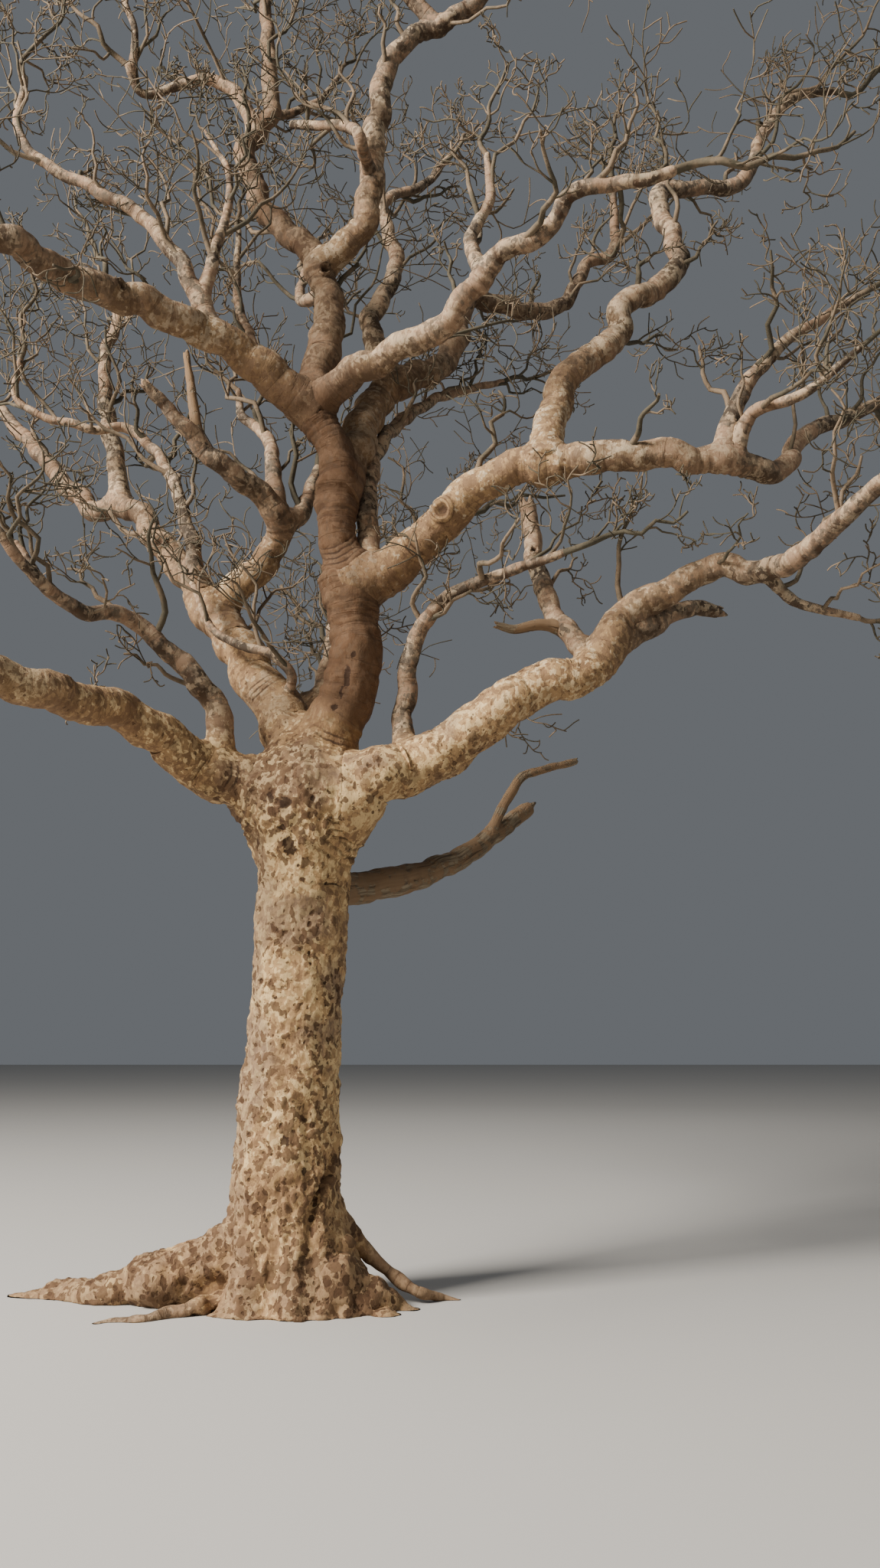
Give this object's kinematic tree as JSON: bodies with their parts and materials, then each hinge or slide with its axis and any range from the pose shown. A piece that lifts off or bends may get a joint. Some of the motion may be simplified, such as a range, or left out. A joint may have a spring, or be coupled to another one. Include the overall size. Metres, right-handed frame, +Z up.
{
  "type": "leafless tree",
  "caption": "Whole bare dry-season tree: stout flared trunk that forks low into crooked, wide-spreading boughs and a broad open crown of twisting leafless twigs.",
  "frame": {"origin": "middle of the flat cut under the trunk, at ground level", "axes": "+Z up the trunk, +X to the right and +Y away as the tree is seen from its open front"},
  "size_m": [10.223, 8.0164, 11.4975],
  "materials": {
    "bark": "rough, flaky and pitted",
    "pale_bark": "rough, smoother towards the tips",
    "dead_wood": "weathered grey, bare of bark",
    "twigs": "matt"
  },
  "bodies": {
    "root": {"trunk": "bark", "centre_stem": "pale_bark", "right_low": "pale_bark", "left_low": "pale_bark", "left_rear": "pale_bark", "crown_stem": "pale_bark", "upper_left": "pale_bark", "upper_right": "pale_bark", "right_arm": "pale_bark", "rear_diagonal": "pale_bark", "arm_riser": "pale_bark", "arm_fork": "bark", "rear_riser": "bark", "low_riser": "bark", "low_under": "pale_bark", "low_shoot": "bark", "left_middle": "pale_bark", "left_rear_riser": "pale_bark", "inner_left": "pale_bark", "inner_riser": "bark", "grey_stub": "dead_wood", "thin_riser": "bark", "nest_riser": "bark", "thin_pair": "bark", "crown_lead": "pale_bark", "crown_lead_left": "bark", "crown_loop": "bark", "s_bend": "pale_bark", "right_crook": "bark", "low_dead": "dead_wood", "back_low": "pale_bark", "back_high": "pale_bark", "back_right": "pale_bark", "twigs_right_low": "twigs", "twigs_left_low": "twigs", "twigs_left_rear": "twigs", "twigs_crown_stem": "twigs", "twigs_upper_left": "twigs", "twigs_upper_right": "twigs", "twigs_right_arm": "twigs", "twigs_rear_diagonal": "twigs", "twigs_arm_riser": "twigs", "twigs_arm_fork": "twigs", "twigs_rear_riser": "twigs", "twigs_low_shoot": "twigs", "twigs_left_middle": "twigs", "twigs_left_rear_riser": "twigs", "twigs_inner_riser": "twigs", "twigs_thin_riser": "twigs", "twigs_nest_riser": "twigs", "twigs_thin_pair": "twigs", "twigs_crown_lead": "twigs", "twigs_crown_lead_left": "twigs", "twigs_crown_loop": "twigs", "twigs_s_bend": "twigs", "twigs_right_crook": "twigs", "twigs_back_low": "twigs", "twigs_back_high": "twigs", "twigs_back_right": "twigs"}
  },
  "joints": []
}
